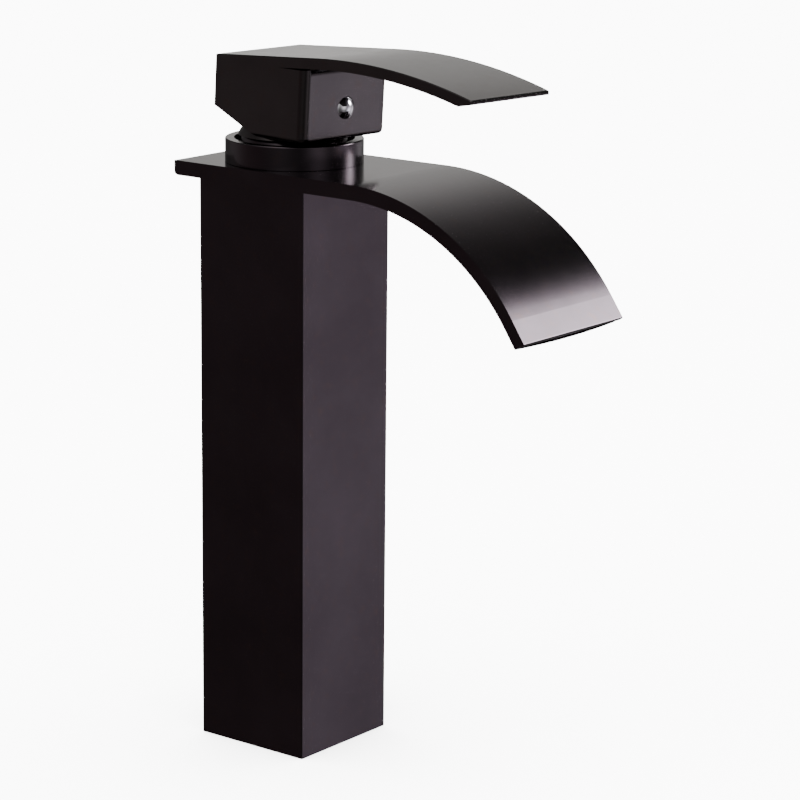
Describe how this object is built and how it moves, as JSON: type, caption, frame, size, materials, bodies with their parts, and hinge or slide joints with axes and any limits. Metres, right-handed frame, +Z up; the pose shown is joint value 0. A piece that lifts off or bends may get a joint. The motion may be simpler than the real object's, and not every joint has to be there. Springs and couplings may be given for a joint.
{
  "type": "bathroom mixer faucet",
  "caption": "Tall single-lever vessel basin mixer: square column, flat plate curving down into a waterfall spout, and a curved lever on a square handle block.",
  "frame": {"origin": "on the deck, at the middle of the square column's foot", "axes": "+Z up along the column; +X towards the basin, along the spout; +Y across the spout"},
  "size_m": [0.165, 0.0625, 0.2687],
  "materials": {
    "bronze_body": "satin oil-rubbed bronze",
    "bronze_spout": "satin oil-rubbed bronze",
    "bronze_handle": "satin oil-rubbed bronze",
    "bronze_trim": "satin oil-rubbed bronze",
    "chrome_trim": "polished chrome",
    "cast_brass": "machined cast brass",
    "copper_tube": "drawn copper tube",
    "seal_rubber": "matte black rubber",
    "housing_plastic": "moulded white plastic",
    "carrier_plastic": "moulded grey plastic",
    "ceramic": "lapped white ceramic",
    "steel": "turned stainless steel"
  },
  "bodies": {
    "body": {"column_shell": "bronze_body", "base_block": "cast_brass", "base_gasket": "seal_rubber", "hot_riser": "copper_tube", "cold_riser": "copper_tube", "valve_body": "cast_brass", "spout_pan": "bronze_spout", "spout_cover": "bronze_spout", "spout_gasket": "seal_rubber", "clamp_nut": "cast_brass", "escutcheon_ring": "bronze_trim", "bonnet": "bronze_trim", "cartridge_housing": "housing_plastic", "cartridge_base": "housing_plastic", "port_seals": "seal_rubber", "body_seal": "seal_rubber", "fixed_disc": "ceramic", "cartridge_nut": "cast_brass"},
    "rotor": {"stem_carrier": "carrier_plastic", "stem_pin": "steel"},
    "slider": {"disc_carrier": "carrier_plastic", "moving_disc": "ceramic"},
    "lever": {"handle": "bronze_handle", "stem": "steel", "grub_screw": "steel", "index_plug": "chrome_trim"}
  },
  "joints": [
    {"name": "temperature_swing", "type": "hinge", "parent": "body", "child": "rotor", "pos_m": [0, 0, 0.225], "axis": [0, 0, 1], "range_deg": [-38.7, 51.3]},
    {"name": "lever_lift", "type": "hinge", "parent": "rotor", "child": "lever", "pos_m": [0, 0, 0.225], "axis": [-0.1097, -0.994, 0], "range_deg": [0, 24]},
    {"name": "disc_slide", "type": "slide", "parent": "rotor", "child": "slider", "axis": [0.994, -0.1097, 0], "range_m": [0, 0.0062]}
  ],
  "couplings": [
    {"joint": "disc_slide", "follows": "lever_lift", "m_per_rad": 0.01457}
  ]
}
